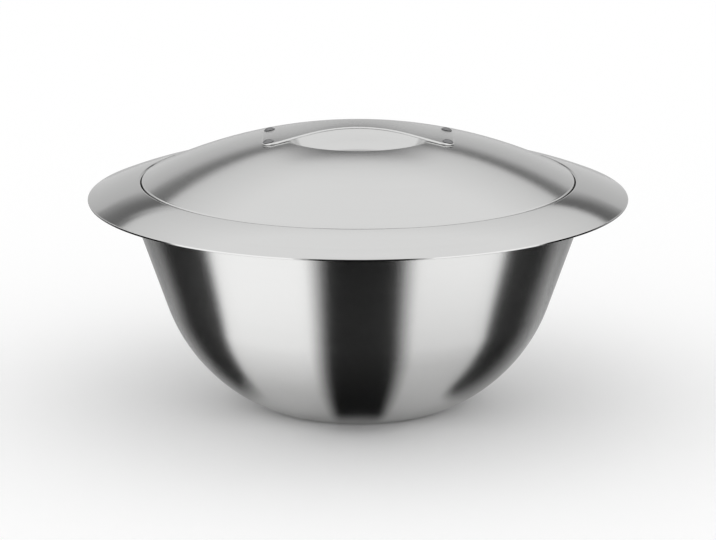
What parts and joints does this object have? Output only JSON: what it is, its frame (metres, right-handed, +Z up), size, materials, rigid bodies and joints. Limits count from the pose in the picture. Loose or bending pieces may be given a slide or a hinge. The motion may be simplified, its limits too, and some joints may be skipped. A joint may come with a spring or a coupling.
{
  "type": "insulated serving bowl with lid",
  "caption": "Round double-walled steel serving bowl with a wide drooping brim and a domed lid that drops into the brim and lifts by a strap over a finger well.",
  "frame": {"origin": "centre of the foot's standing plane, on the axis of the bowl", "axes": "+Z up along the bowl's axis, +X along the handle strap, -Y towards the viewer"},
  "size_m": [0.2996, 0.2996, 0.1579],
  "materials": {
    "shell_steel": "circumferentially brushed satin stainless steel",
    "liner_steel": "circumferentially brushed satin stainless steel",
    "disc_steel": "circumferentially brushed satin stainless steel",
    "dome_steel": "circumferentially brushed satin stainless steel",
    "pan_steel": "circumferentially brushed satin stainless steel",
    "strap_steel": "circumferentially brushed satin stainless steel",
    "rivet_steel": "plain bright steel",
    "foam": "rigid insulating foam",
    "plug_rubber": "matt rubber",
    "seal_silicone": "grey translucent silicone"
  },
  "bodies": {
    "bowl": {"bowl_outer_shell": "shell_steel", "bowl_inner_liner": "liner_steel", "bowl_insulation": "foam", "fill_plug": "plug_rubber", "base_disc": "disc_steel"},
    "lid": {"lid_outer_dome": "dome_steel", "lid_inner_pan": "pan_steel", "lid_insulation": "foam", "lid_seal_ring": "seal_silicone", "handle_strap": "strap_steel", "handle_rivets": "rivet_steel", "rivet_washers": "rivet_steel"}
  },
  "joints": [
    {"name": "lid_lift", "type": "slide", "parent": "bowl", "child": "lid", "axis": [0, 0, 1], "range_m": [0, 0.15]}
  ]
}
